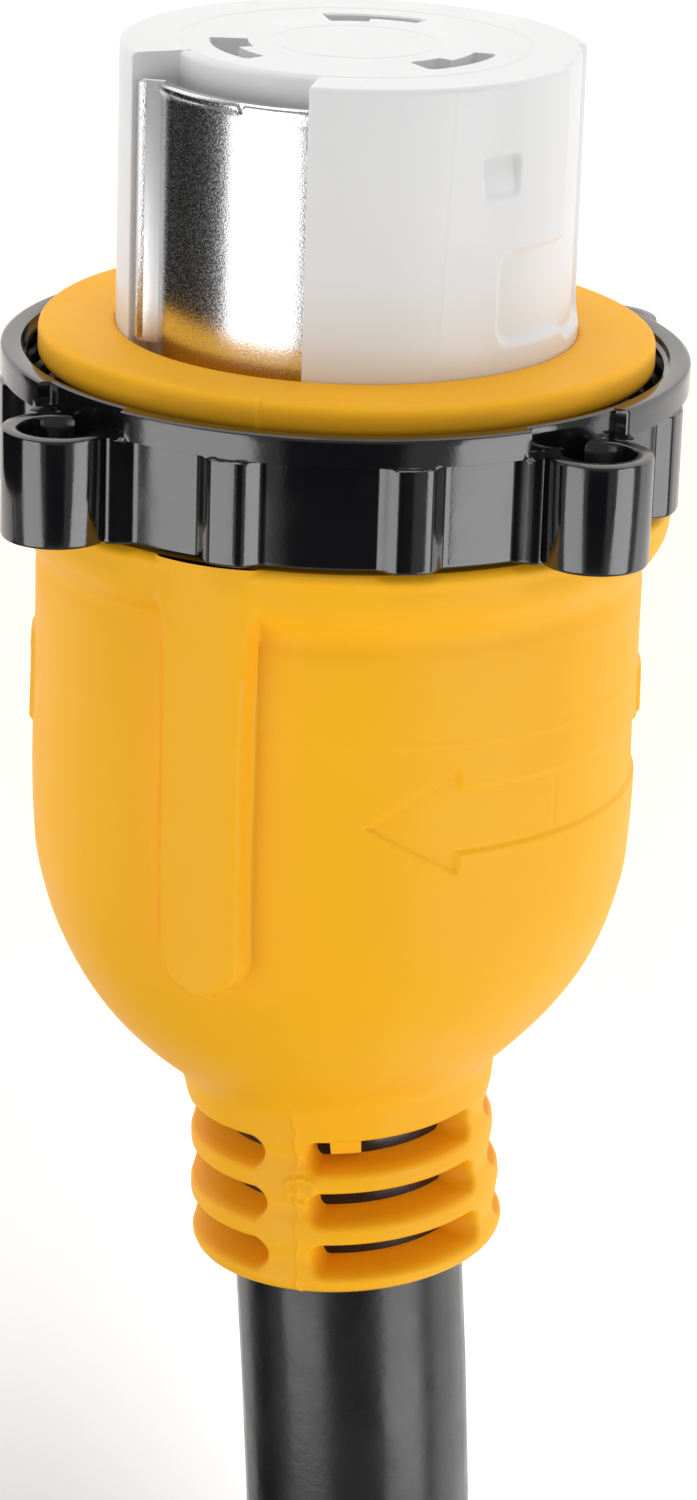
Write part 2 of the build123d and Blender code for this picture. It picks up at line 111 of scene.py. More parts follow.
def mesh_object(name, points, faces, sharp=32):
    """Smooth mesh with its edges kept sharp past an angle, in degrees."""
    mesh = bpy.data.meshes.new(name)
    mesh.from_pydata(points, [], faces)
    mesh.validate()
    mesh.update()
    mesh.shade_smooth()
    mesh.set_sharp_from_angle(angle=radians(sharp))
    return link(bpy.data.objects.new(name, mesh))


def quads(name, points, columns, closed, sharp):
    """Mesh over rows of points; a closed one joins each row's end to its start."""
    faces = []
    for row in range(0, len(points) - columns, columns):
        for j in range(columns if closed else columns - 1):
            k = (j + 1) % columns
            faces.append((row + j, row + k, row + columns + k, row + columns + j))
    return mesh_object(name, points, faces, sharp)


def lathe(name, angles, y, r, keep=None, sharp=32, lean=None):
    """Skin turned about the connector's axis.  y and r are rows by angles, in mm."""
    rows, columns = r.shape
    a = np.radians(angles)
    points = np.stack([-r * np.sin(a), y, r * np.cos(a)], axis=2).reshape(-1, 3)
    if lean is not None:
        points = lean(points)
    points = points * MM
    i, j = np.meshgrid(np.arange(rows - 1), np.arange(columns), indexing="ij")
    k = (j + 1) % columns
    faces = np.stack([i * columns + j, i * columns + k, (i + 1) * columns + k,
                      (i + 1) * columns + j], axis=2)
    if keep is not None:
        faces = faces[keep(i, j, k)]
    return mesh_object(name, points.tolist(), faces.reshape(-1, 4).tolist(), sharp)


def dense(parts):
    """Joined, evenly divided stretches from (start, end, spacing) triples."""
    return np.concatenate([np.arange(a, b, s) for a, b, s in parts] + [[parts[-1][1]]])


def box_distance(u, v, half_u, half_v, corner):
    """Signed distance to a rectangle with round corners, negative inside."""
    qu = np.abs(u) - half_u + corner
    qv = np.abs(v) - half_v + corner
    return np.hypot(np.maximum(qu, 0), np.maximum(qv, 0)) + np.minimum(np.maximum(qu, qv), 0) - corner


def polygon_distance(u, v, corners):
    """Signed distance to a polygon, negative inside."""
    best = np.full(u.shape, 1e9)
    inside = np.zeros(u.shape, bool)
    for (ax, ay), (bx, by) in zip(corners, corners[1:] + corners[:1]):
        ex, ey = bx - ax, by - ay
        t = np.clip(((u - ax) * ex + (v - ay) * ey) / (ex * ex + ey * ey), 0, 1)
        best = np.minimum(best, np.hypot(u - ax - t * ex, v - ay - t * ey))
        crosses = (ay > v) != (by > v)
        with np.errstate(divide="ignore", invalid="ignore"):
            inside ^= crosses & (u < (bx - ax) * (v - ay) / (by - ay) + ax)
    return np.where(inside, -best, best)


# ------------------------------------------------------------------ materials
def material(name, colour, roughness, metallic=0.0, specular=0.5):
    """New material with its node tree and its shader."""
    mat = bpy.data.materials.new(name)
    mat.use_nodes = True
    shader = mat.node_tree.nodes["Principled BSDF"]
    shader.inputs["Base Color"].default_value = (*colour, 1)
    shader.inputs["Roughness"].default_value = roughness
    shader.inputs["Metallic"].default_value = metallic
    shader.inputs["Specular IOR Level"].default_value = specular
    return mat, mat.node_tree, shader


def noise(tree, scale, detail=3.0, stretch=(1, 1, 1)):
    """Noise in object space; scale is in waves per metre."""
    place = tree.nodes.new("ShaderNodeTexCoord")
    mapping = tree.nodes.new("ShaderNodeMapping")
    mapping.inputs["Scale"].default_value = stretch
    tree.links.new(place.outputs["Object"], mapping.inputs["Vector"])
    node = tree.nodes.new("ShaderNodeTexNoise")
    node.inputs["Scale"].default_value = scale
    node.inputs["Detail"].default_value = detail
    tree.links.new(mapping.outputs["Vector"], node.inputs["Vector"])
    return node.outputs["Fac"]


def spread(tree, value, low, high, start=0.3, end=0.7):
    """Maps a 0 to 1 value between two numbers."""
    node = tree.nodes.new("ShaderNodeMapRange")
    node.inputs["From Min"].default_value = start
    node.inputs["From Max"].default_value = end
    node.inputs["To Min"].default_value = low
    node.inputs["To Max"].default_value = high
    tree.links.new(value, node.inputs["Value"])
    return node.outputs["Result"]


def tint(tree, value, first, second, start=0.3, end=0.7):
    """Colour that goes from first to second with a value."""
    ramp = tree.nodes.new("ShaderNodeValToRGB")
    ramp.color_ramp.elements[0].position = start
    ramp.color_ramp.elements[0].color = (*first, 1)
    ramp.color_ramp.elements[1].position = end
    ramp.color_ramp.elements[1].color = (*second, 1)
    tree.links.new(value, ramp.inputs["Fac"])
    return ramp.outputs["Color"]


def relief(tree, shader, value, depth, before=None):
    """Adds a bump of some depth, in metres, on top of an earlier one."""
    node = tree.nodes.new("ShaderNodeBump")
    node.inputs["Strength"].default_value = 1.0
    node.inputs["Distance"].default_value = depth
    tree.links.new(value, node.inputs["Height"])
    if before is not None:
        tree.links.new(before, node.inputs["Normal"])
    tree.links.new(node.outputs["Normal"], shader.inputs["Normal"])
    return node.outputs["Normal"]


def moulded(name, dark, light, roughness, grain, specular=0.5, fine=2600):
    """Moulded plastic: slow colour drift, fine satin grain and uneven gloss."""
    mat, tree, shader = material(name, light, roughness, specular=specular)
    tree.links.new(tint(tree, noise(tree, 22), dark, light), shader.inputs["Base Color"])
    low, high = roughness - 0.05, roughness + 0.06
    tree.links.new(spread(tree, noise(tree, 140), low, high), shader.inputs["Roughness"])
    first = relief(tree, shader, noise(tree, fine, 2), grain)
    relief(tree, shader, noise(tree, 90, 2), grain * 5, first)
    return mat


YELLOW = moulded("yellow_vinyl", (0.96, 0.455, 0.009), (1.0, 0.49, 0.011), 0.5, 0.00001, 0.22)
GASKET = moulded("yellow_gasket", (0.95, 0.445, 0.010), (0.99, 0.48, 0.012), 0.55, 0.000012, 0.2)
WHITE = moulded("white_nylon", (0.79, 0.79, 0.79), (0.81, 0.81, 0.81), 0.36, 0.0000015, 0.3)
RING = moulded("black_ring", (0.004, 0.004, 0.005), (0.007, 0.007, 0.008), 0.13, 0.000005, 1.0)
BLACK = moulded("black_nylon", (0.02, 0.02, 0.02), (0.03, 0.03, 0.03), 0.5, 0.00001)
JACKET = moulded("cord_jacket", (0.008, 0.008, 0.009), (0.012, 0.012, 0.013), 0.27, 0.00002, 0.6, 900)


def plated(name, colour, roughness, speckle):
    """Plated metal with a fine orange-peel speckle."""
    mat, tree, shader = material(name, colour, roughness, metallic=1.0)
    tree.links.new(spread(tree, noise(tree, 5200, 2), roughness - 0.08, roughness + 0.12),
                   shader.inputs["Roughness"])
    relief(tree, shader, noise(tree, 4400, 2), speckle)
    return mat


NICKEL = plated("nickel_plate", (0.80, 0.80, 0.81), 0.2, 0.000015)
SATIN = plated("satin_nickel", (0.74, 0.74, 0.75), 0.42, 0.000004)
STEEL = plated("zinc_steel", (0.62, 0.62, 0.64), 0.3, 0.000004)
BRASS = plated("contact_brass", (0.78, 0.58, 0.26), 0.28, 0.000004)
COPPER = plated("copper", (0.72, 0.33, 0.16), 0.35, 0.000008)


def wire_material(name, colour):
    dark = tuple(0.8 * c for c in colour)
    return moulded(name, dark, colour, 0.35, 0.000008)


WIRES = {"black": wire_material("black_wire", (0.02, 0.02, 0.02)),
         "white": wire_material("white_wire", (0.8, 0.8, 0.78)),
         "red": wire_material("red_wire", (0.55, 0.02, 0.02)),
         "green": wire_material("green_wire", (0.02, 0.28, 0.06))}


def woven(name, colour):
    """Hook-and-loop strap: a fine woven grid with fuzzy roughness."""
    mat, tree, shader = material(name, colour, 0.9, specular=0.2)
    weave = tree.nodes.new("ShaderNodeTexWave")
    weave.inputs["Scale"].default_value = 900
    weave.inputs["Distortion"].default_value = 1.5
    place = tree.nodes.new("ShaderNodeTexCoord")
    tree.links.new(place.outputs["Object"], weave.inputs["Vector"])
    tree.links.new(tint(tree, noise(tree, 700), (0.012, 0.012, 0.013), colour),
                   shader.inputs["Base Color"])
    shader.inputs["Sheen Weight"].default_value = 0.4
    first = relief(tree, shader, weave.outputs["Fac"], 0.0002)
    relief(tree, shader, noise(tree, 2500), 0.0002, first)
    return mat


STRAP = woven("tie_fabric", (0.04, 0.04, 0.042))


def dress(node, mat):
    """Gives a CAD node its material."""
    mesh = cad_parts[node].data
    mesh.materials.clear()
    mesh.materials.append(mat)


def finish_piece(obj, mat, body, slot, *nodes):
    """Gives a piece its material and the body it rides on, and hides the CAD nodes it stands for."""
    obj.data.materials.append(mat)
    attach(obj, body)
    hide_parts(*nodes)


# ------------------------------------------------------------------ cord
# The CAD's route points, in mm, with the coil's turns between the lead and the tail.
COIL_R = 5.25 * CORD_D
PITCH = (COIL_HIGH[2] - COIL_LOW[2]) / 2                  # between turns
COIL_X = (COIL_LOW[0] + COIL_HIGH[0]) / 2
COIL_Y = (COIL_LOW[1] + COIL_HIGH[1]) / 2
CORD_FLOOR = FLOOR + CORD_D / 2
COIL_CORD = COIL_LOW[2] + CORD_D / 2
EXIT_X = COIL_X + COIL_R + 1.5 * PITCH
PLUG_X = EXIT_X - 14
PLUG_Z = (HEAD_LOW[2] + HEAD_HIGH[2]) / 2
BUSH_END = HEAD_HIGH[1]
TURNS = 7.5
POINTS_PER_TURN = 24

LEAN_X, LEAN_Y = -sin(radians(NECK_BEND)), cos(radians(NECK_BEND))
JACKET_L = NECK_END - JACKET_IN
LEAD = [(JACKET_L * LEAN_X, JACKET_IN + JACKET_L * LEAN_Y, 0),
        ((JACKET_L + 60) * LEAN_X, JACKET_IN + (JACKET_L + 60) * LEAN_Y, 0),
        (-5, 297, CORD_FLOOR + 0.6)]
TAIL = [(EXIT_X - 1, COIL_Y - 84, COIL_CORD + PITCH + 1), (PLUG_X, BUSH_END + 50, PLUG_Z),
        (PLUG_X, BUSH_END, PLUG_Z)]


def coil_points():
    """Four turns side by side on the floor, inwards, then four on top of them, outwards."""
    points = []
    for k in range(int(TURNS * POINTS_PER_TURN) + 1):
        travel = k * 360.0 / POINTS_PER_TURN
        inwards = sum(step((travel - start) / 60) for start in (300, 660, 1020))
        outwards = sum(step((travel - start) / 60) for start in (1620, 1980, 2340))
        climb = step((travel - 1320) / 60)
        r = COIL_R + (1.5 - inwards + outwards) * PITCH
        around = radians(180 - travel)
        points.append((COIL_X + r * cos(around), COIL_Y + r * sin(around),
                       COIL_CORD + climb * PITCH))
    return points


def cord_curve(name, route):
    """Smooth round tube along a route given in mm."""
    curve = bpy.data.curves.new(name, "CURVE")
    curve.dimensions = "3D"
    spline = curve.splines.new("NURBS")
    spline.points.add(len(route) - 1)
    for point, place in zip(spline.points, route):
        point.co = (place[0] * MM, place[1] * MM, place[2] * MM, 1)
    spline.order_u = 3
    spline.use_endpoint_u = True
    spline.resolution_u = 6
    curve.bevel_depth = CORD_D / 2 * MM
    curve.bevel_resolution = 10
    curve.use_fill_caps = True
    return link(bpy.data.objects.new(name, curve))


cord = cord_curve("cord", LEAD + coil_points() + TAIL)
finish_piece(cord, JACKET, "cord_set", "cord_jacket", "cord_lead", "cord_coil", "cord_tail")


# ------------------------------------------------------------------ yellow body
COLUMNS = np.arange(0, 360, 0.5)
BARREL_R = 36.1
NECK_R = 19.2
ROWS_OF_SLOTS = (132.1, 138.9, 145.6)
SPINES = (-21.5, 68.5, 158.5, 248.5)
THUMB_RIBS = (-22.6, 157.4)


def body_profile(y):
    """Outside radius of the plain body along the axis."""
    knots = [(51.8, 38.4), (52.3, 39.0), (54.0, 39.0), (55.5, 38.85), (56.8, 38.4), (57.9, 37.75),
             (58.9, 36.95), (59.6, 36.35), (60.1, 36.13), (63.0, 36.1), (72.0, 36.1),
             (94.0, 36.1), (98.5, 35.75), (102.0, 35.0),
             (107.3, 33.3), (112.0, 31.0), (117.0, 27.6), (121.0, 24.0), (123.6, 21.3),
             (124.8, 20.2), (125.9, 19.55), (127.0, 19.3), (147.4, 19.3), (148.8, 19.25),
             (149.6, 18.8), (150.2, 17.9)]
    ys, rs = zip(*knots)
    slopes = np.gradient(np.array(rs), np.array(ys))
    i = np.clip(np.searchsorted(ys, y) - 1, 0, len(ys) - 2)
    y0, y1 = np.array(ys)[i], np.array(ys)[i + 1]
    t = (y - y0) / (y1 - y0)
    r0, r1 = np.array(rs)[i], np.array(rs)[i + 1]
    curve = ((2 * t ** 3 - 3 * t ** 2 + 1) * r0 + (t ** 3 - 2 * t ** 2 + t) * (y1 - y0) * slopes[i]
             + (3 * t ** 2 - 2 * t ** 3) * r1 + (t ** 3 - t ** 2) * (y1 - y0) * slopes[i + 1])
    return curve


def slot_depth(angles, y):
    """Depth of the neck's slots: rounded mouth, then steep walls down to the cord."""
    best = np.full(y.shape, 9.0)
    for spine in SPINES:
        across = radians(1) * NECK_R * turn_to(angles, spine + 45)
        for middle in ROWS_OF_SLOTS:
            best = np.minimum(best, box_distance(across, y - middle, 12.2, 2.1, 1.9))
    inside = -best
    return 0.8 * step((inside + 0.6) / 1.2) + 5.4 * np.clip((inside - 0.05) / 1.35, 0, 1) ** 0.8


def arrow_sink(angles, y):
    """The sunk double-headed arrow band round the barrel."""
    middle_angle, middle_y = 75.0, 82.6
    tip, neck = 43.5, 32.4
    u = radians(1) * BARREL_R * turn_to(angles, middle_angle)
    v = y - middle_y
    corners = [(-tip, 0), (-neck, -6.3), (-neck, -3.8), (neck, -3.8), (neck, -6.3), (tip, 0),
               (neck, 6.3), (neck, 3.8), (-neck, 3.8), (-neck, 6.3)]
    sink = 0.42 * step((0.2 - polygon_distance(u, v, corners)) / 0.4)
    for line in (-18.3, 18.3):
        sink += 0.12 * bump(u, line, 0.25) * step((3.4 - np.abs(v)) / 0.4)
    return sink


def neck_lean(points):
    """Leans the neck over from the jacket's cut end on, blended in under the dome's edge."""
    x, y, z = points.T
    part = np.radians(NECK_BEND) * step((y - 108.0) / 18.0)
    along = y - JACKET_IN
    return np.stack([x * np.cos(part) - along * np.sin(part),
                     JACKET_IN + x * np.sin(part) + along * np.cos(part), z], axis=1)


def handle_skin():
    """The yellow body, outside and inside, with the neck's slots cut through."""
    outer_y = dense([(51.8, 62.0, 0.25), (62.0, 72.0, 0.4), (72.0, 94.0, 0.25),
                     (94.0, 128.0, 0.4), (128.0, NECK_END, 0.22)])
    y, angles = np.meshgrid(outer_y, COLUMNS, indexing="ij")
    r = body_profile(y)
    mm_per_degree = radians(1) * BARREL_R
    for rib in THUMB_RIBS:
        across = mm_per_degree * turn_to(angles, rib)
        along = np.maximum(y - 99.4, 0)
        flare = 0.9 * np.exp(-np.maximum(y - 57.0, 0) / 3.0)
        edge = np.hypot(across, along) - 4.9 - flare
        top = 39.6 - 0.5 * (across / 5.3) ** 2 - 0.05 * np.maximum(y - 90, 0)
        r += np.maximum(top - r, 0) * step((0.4 - edge) / 1.0)
        r -= 0.4 * bump(edge, 1.0, 0.6) * (across < 0) * step((y - 60.0) / 3)
    r -= arrow_sink(angles, y) * step((2.0 - np.abs(y - 82.6) + 6.0) / 2)
    for side, long_half in ((-90, 5.6), (90, 3.3)):
        pad = box_distance(mm_per_degree * turn_to(angles, side), y - 76.6, 4.0, long_half, 0.8)
        r += 0.45 * step((0.3 - pad) / 0.6)
    parting = 72.9 + 0.35 * np.sin(np.radians(angles * 2))
    r += 0.07 * bump(y, parting, 0.28) * step((y - 70) / 1)
    neck = step((y - 127.5) / 1.5)
    band = np.zeros(y.shape)
    for middle in ROWS_OF_SLOTS:
        band += bump(y, middle, 1.5)
    r -= 0.45 * band * neck
    for spine in (-21.5, 158.5):
        seam = turn_to(angles, spine + 6 - 0.1 * (y - 128))
        r += 0.24 * bump(seam + 0.5 * np.sin(y * 1.7), 0, 0.6) * step((y - 124) / 4)
        gate = np.hypot(turn_to(angles, spine + 6.5) * radians(1) * NECK_R, y - 136.2)
        r += 0.38 * bump(gate + 0.3 * np.sin(y * 3.1), 1.7, 0.5) + 0.15 * bump(gate, 0, 0.8)
    depth = slot_depth(angles, y)
    flash = (np.abs(turn_to(angles, 3.0)) < 7) & (y > 129.3) & (y < 132.5)
    depth = np.where(flash, np.minimum(depth, 1.9), depth)
    r -= depth
    floor_of_slot = depth > 6.0
    inner_y = np.array([NECK_END, NECK_END, 140.0, 128.0, 124.0, 113.0, 96.0, 61.0, 57.0, 37.0, 37.0,
                        51.8, 51.8])
    inner_r = np.array([17.0, 14.3, 14.3, 14.3, 16.0, 21.0, 31.0, 31.0, 24.5, 24.5, 31.2, 31.2,
                        38.4])
    y = np.concatenate([y, np.repeat(inner_y[:, None], len(COLUMNS), 1)])
    r = np.concatenate([r, np.repeat(inner_r[:, None], len(COLUMNS), 1)])
    gap = np.zeros(r.shape, bool)
    gap[:len(outer_y)] = floor_of_slot

    def keep(i, j, k):
        return ~(gap[i, j] & gap[i, k] & gap[i + 1, j] & gap[i + 1, k]) & ~((i >= len(outer_y) + 1)
                                                                       & (i <= len(outer_y) + 2))

    return lathe("handle_skin", COLUMNS, y, r, keep, sharp=50, lean=neck_lean)


finish_piece(handle_skin(), YELLOW, "cord_set", "yellow_vinyl", "handle_body")


# ------------------------------------------------------------------ gasket
def gasket_skin():
    """Soft disc with a rounded, slightly uneven rim and one nick in it."""
    profile = [(27.0, 36.9), (27.0, 33.3), (27.3, 33.0), (30.0, 32.95), (35.0, 33.0), (35.6, 33.12),
               (35.95, 33.45), (36.1, 34.0), (36.1, 36.4), (35.9, 36.8), (35.4, 36.98), (33.5, 36.98),
               (31.2, 36.98)]
    path = np.array(profile)
    along = np.concatenate([[0], np.cumsum(np.hypot(*np.diff(path, axis=0).T))])
    fine = np.arange(0, along[-1], 0.3)
    r0, y0 = (np.interp(fine, along, path[:, k]) for k in (0, 1))
    angles = np.broadcast_to(COLUMNS, (len(fine), len(COLUMNS)))
    around = np.radians(angles)
    r = np.repeat(r0[:, None], len(COLUMNS), 1)
    y = np.repeat(y0[:, None], len(COLUMNS), 1)
    rim = step((r - 30) / 5)
    front = step((36.4 - y) / 2.4)
    y = y + rim * front * (0.25 * np.sin(around + 0.6) + 0.12 * np.sin(3 * around + 1.0))
    r = r + 0.10 * rim * np.sin(5 * around + 0.4)
    nick = bump(turn_to(angles, -15), 0, 0.5) * step((r - 34) / 1)
    r = r + 0.35 * nick
    y = y - 0.15 * nick * front
    return lathe("gasket_skin", COLUMNS, y, r, sharp=60)


finish_piece(gasket_skin(), GASKET, "cord_set", "yellow_gasket", "sealing_gasket")


# ------------------------------------------------------------------ locking ring
RING_LOW, RING_HIGH = node_box("locking_ring")
RING_FRONT, RING_END = RING_LOW[1], RING_HIGH[1]
RING_R, FLANGE_R, RING_BORE = 39.0, 40.4, 37.3
FLANGE_L = 3.4                              # the stepped flange at the ring's front
RING_LIP_R, RING_LIP_Y = 31.8, 47.9         # inner edge and front of the lip at its back
THREAD_PITCH, THREAD_DEPTH = 2.6, 0.55
LUGS = (-48.4, 41.6, 131.6, 221.6)
LUG_CENTRE, LUG_OUT, LUG_HOLE, LUG_BACK = 42.8, 6.2, 4.15, 2.9


def ring_skin():
    """The ring's wall: flange, ribs, webs beside the lugs, back lip and threaded bore."""
    step_y = RING_FRONT + FLANGE_L
    outer_y = np.concatenate([RING_FRONT + np.array([0.0, 0.15, 0.45, 1.0, 2.0, 2.9, 3.2, 3.38, 3.45,
                                                     3.55, 3.9, 4.5]),
                              dense([(RING_FRONT + 5.0, RING_END - 1.0, 0.4),
                                     (RING_END - 1.0, RING_END, 0.2)])])
    y, angles = np.meshgrid(outer_y, COLUMNS, indexing="ij")
    flange = step((step_y + 0.08 - y) / 0.16)
    lug_side = np.min([np.abs(turn_to(angles, lug)) for lug in LUGS], axis=0)
    flange *= step((lug_side - 10.0) / 0.5)
    r = RING_R + (FLANGE_R - RING_R) * flange
    below = step((y - step_y + 0.1) / 0.2)
    mm = radians(1) * RING_R
    ribs = np.zeros(y.shape)
    for lug in LUGS:
        for turn in (30, 60):
            across = np.abs(mm * turn_to(angles, lug + turn))
            ribs = np.maximum(ribs, 1.75 * (1 - step((across - 1.4) / 3.0)) - 0.05 * across)
        across = np.abs(mm * turn_to(angles, lug))
        web = 2.1 * step((8.6 - across) / 2.8) * step((across - 4.5) / 0.5)
        ribs = np.maximum(ribs, web * step((y - RING_FRONT - LUG_BACK) / 0.15))
    r = r + np.where(lug_side < 12, 1.0, below) * np.maximum(ribs, 0)
    end_round = np.sqrt(np.clip(0.25 - np.clip(y - RING_END + 0.5, 0, 0.5) ** 2, 0, 1)) - 0.5
    start_round = np.sqrt(np.clip(0.16 - np.clip(RING_FRONT + 0.4 - y, 0, 0.4) ** 2, 0, 1)) - 0.4
    r = r + end_round + start_round
    thread_y = np.arange(47.6, RING_FRONT + 0.8, -0.18)
    ty, ta = np.meshgrid(thread_y, COLUMNS, indexing="ij")
    phase = (ty - RING_FRONT) / THREAD_PITCH - ta / 360.0
    thread = RING_BORE + THREAD_DEPTH * (1 - np.clip(np.abs((phase % 1.0) - 0.5) * 3.2, 0, 1))
    back = np.array([(RING_LIP_R, RING_END), (RING_LIP_R, RING_LIP_Y), (RING_BORE + 0.3, RING_LIP_Y)])
    front = np.array([(RING_BORE + 0.5, RING_FRONT + 0.7), (RING_BORE + 0.7, RING_FRONT + 0.1),
                      (RING_BORE + 1.0, RING_FRONT)])
    columns = len(COLUMNS)
    stack_y = [y, np.repeat(back[:, 1:], columns, 1), ty, np.repeat(front[:, 1:], columns, 1), y[:1]]
    stack_r = [r, np.repeat(back[:, :1], columns, 1), thread, np.repeat(front[:, :1], columns, 1),
               r[:1]]
    return lathe("ring_skin", COLUMNS, np.concatenate(stack_y), np.concatenate(stack_r), sharp=40)


def lug_skin(lug, name):
    """One hollow lug: a tube with a rounded mouth beside the ring's wall."""
    top, end = RING_FRONT + LUG_BACK, RING_END
    profile = [(LUG_HOLE, end), (LUG_HOLE, top + 0.4), (LUG_HOLE + 0.15, top + 0.1), (LUG_HOLE + 0.4, top),
               (LUG_OUT - 0.4, top), (LUG_OUT - 0.1, top + 0.12), (LUG_OUT, top + 0.45),
               (LUG_OUT, end - 0.5), (LUG_OUT - 0.15, end - 0.12), (LUG_OUT - 0.5, end), (LUG_HOLE, end)]
    turns = np.arange(0, 360, 7.5)
    points = []
    u0, v0 = LUG_CENTRE * sin(radians(lug)), LUG_CENTRE * cos(radians(lug))
    for r, y in profile:
        for turn in np.radians(turns):
            points.append(((-u0 - r * sin(turn)) * MM, y * MM, (v0 + r * cos(turn)) * MM))
    return quads(name, points, len(turns), True, 40)


def joined(name, objects):
    """One object from several meshes."""
    for obj in bpy.context.selected_objects:
        obj.select_set(False)
    for obj in objects:
        obj.select_set(True)
    bpy.context.view_layer.objects.active = objects[0]
    bpy.ops.object.join()
    objects[0].name = name
    return objects[0]


ring = joined("ring", [ring_skin()] + [lug_skin(lug, f"lug_{i}") for i, lug in enumerate(LUGS)])
finish_piece(ring, RING, "locking_ring", "black_ring", "locking_ring")


# ------------------------------------------------------------------ white nose
WINDOW = (-68.0, -10.5)
CORE_R = 21.3
SLOTS = ((-68.0, -1), (172.0, 1), (52.0, -1))          # middle angle and the wide end's side
SLOT_R = 15.0


def nose_columns():
    """Half-degree columns, with close pairs at the window's two edges."""
    extra = [edge + shift for edge in WINDOW for shift in (-0.6, -0.3, -0.1, 0.1, 0.3, 0.6)]
    return np.unique(np.round(np.concatenate([COLUMNS, np.array(extra) % 360]), 3))


def nose_skin():
    """White nose: slotted face, side window, square recess, turning channel and seam."""
    columns = nose_columns()
    face_t = np.linspace(0.0005, 1.0, 120)
    side_y = dense([(0.0, 1.0, 0.15), (1.0, 37.0, 0.3)])
    outer = np.full(columns.shape, NOSE_R)
    in_window = step((turn_to(columns, WINDOW[0]) + 0.12) / 0.24) * step(
        (0.12 - turn_to(columns, WINDOW[1])) / 0.24)
    in_window *= np.abs(turn_to(columns, sum(WINDOW) / 2)) < 40
    outer = outer - (NOSE_R - CORE_R) * in_window
    # side rows, from the face to the gasket
    ys, angles_side = np.meshgrid(side_y, columns, indexing="ij")
    rs = np.broadcast_to(outer, ys.shape).copy()
    rs -= 0.6 * (1 - np.sqrt(np.clip(1 - (1 - np.clip(ys / 0.6, 0, 1)) ** 2, 0, 1)))
    whole = 1 - np.broadcast_to(in_window, ys.shape)
    mm = radians(1) * NOSE_R
    square = box_distance(mm * turn_to(angles_side, 38.7), ys - 10.4, 2.7, 2.5, 1.0)
    rs -= whole * (1.15 - 0.18 * (ys - 8)) * step((0.2 - square) / 0.7)
    channel = box_distance(mm * turn_to(angles_side, 81.0), ys - 14.0, 7.4, 17.4, 2.5)
    pocket = box_distance(mm * turn_to(angles_side, 55.0), ys - 24.6, 7.6, 5.4, 2.4)
    sunk = np.minimum(channel, pocket)
    rs -= whole * 0.95 * step((0.35 - sunk) / 1.1)
    seam = turn_to(angles_side, 25.5 - 0.09 * ys)
    rs += whole * 0.06 * bump(seam, 0, 0.35)
    # face rows, from the middle outwards
    t, angles = np.meshgrid(face_t, columns, indexing="ij")
    edge = np.broadcast_to(rs[0], t.shape)
    r = np.where(t < 0.72, t / 0.72 * 19.5, 19.5 + (t - 0.72) / 0.28 * (edge - 19.5))
    y = np.zeros(r.shape)
    for slot, wide in SLOTS:
        across = wide * radians(1) * SLOT_R * turn_to(angles, slot)
        arc = box_distance(across, r - SLOT_R - 0.4, 5.6, 1.15, 0.3)
        end = box_distance(across - 3.0, r - SLOT_R + 0.5, 2.6, 2.0, 0.3)
        y += 7.0 * step((0.1 - np.minimum(arc, end)) / 0.3)
    for groove in (20.2, 9.4):
        y += 0.12 * bump(r, groove, 0.22)
    y = np.concatenate([y, ys])
    r = np.concatenate([r, rs])
    return lathe("nose_skin", columns, y, r, sharp=38)


finish_piece(nose_skin(), WHITE, "cord_set", "white_nylon", "front_insulator")


# ------------------------------------------------------------------ plated shell in the window
SHELL_R, SHELL_T, SHELL_FRONT = 24.45, 0.8, 3.1
SHELL_START, SHELL_END = WINDOW[0] + 0.7, WINDOW[1] - 0.3


def shell_plate():
    """Curved plate with a rolled front edge and a seam notch in it."""
    front, inner = SHELL_FRONT, SHELL_R - SHELL_T
    turns = np.arange(SHELL_START, SHELL_END, 0.5)
    rows = [(inner, 33.2), (inner - 0.1, front + 0.9), (inner, front + 0.3), (inner + 0.4, front),
            (SHELL_R, front - 0.02), (SHELL_R + 0.22, front + 0.2), (SHELL_R + 0.30, front + 0.55),
            (SHELL_R + 0.2, front + 0.95), (SHELL_R, front + 1.3)]
    rows += [(SHELL_R, y) for y in np.arange(front + 1.7, 36.0, 0.6)]
    points = []
    for r, y in rows:
        for turn in turns:
            notch = 0.7 * float(bump(turn, -30.5, 0.5)) * float(step((front + 2.0 - y) / 2.0))
            dent = 0.25 * float(step((front + 2.2 - y) / 1.4)) * float(step((turn + 31) / 1.0))
            a = radians(turn)
            points.append((-(r - dent) * sin(a) * MM, (y + notch) * MM, (r - dent) * cos(a) * MM))
    return quads("shell_plate", points, len(turns), False, 45)


def shell_lip():
    """Strip that turns outwards beside the window's left wall."""
    rows = [(SHELL_FRONT - 0.3, 0.4), (SHELL_FRONT, 0.0), (33.2, 0.0)]
    outline = [(SHELL_R - 0.1, 5.4), (SHELL_R + 0.3, 4.6), (SHELL_R + 0.9, 3.6), (25.9, 2.3),
               (26.3, 1.2), (26.35, 0.6), (26.1, 0.1)]
    points = []
    for y, inset in rows:
        for r, turn in outline:
            a = radians(SHELL_START + turn)
            points.append((-(r - inset) * sin(a) * MM, y * MM, (r - inset) * cos(a) * MM))
    return quads("shell_lip", points, len(outline), False, 45)


finish_piece(shell_plate(), NICKEL, "cord_set", "nickel_plate")
finish_piece(shell_lip(), SATIN, "cord_set", "nickel_plate")


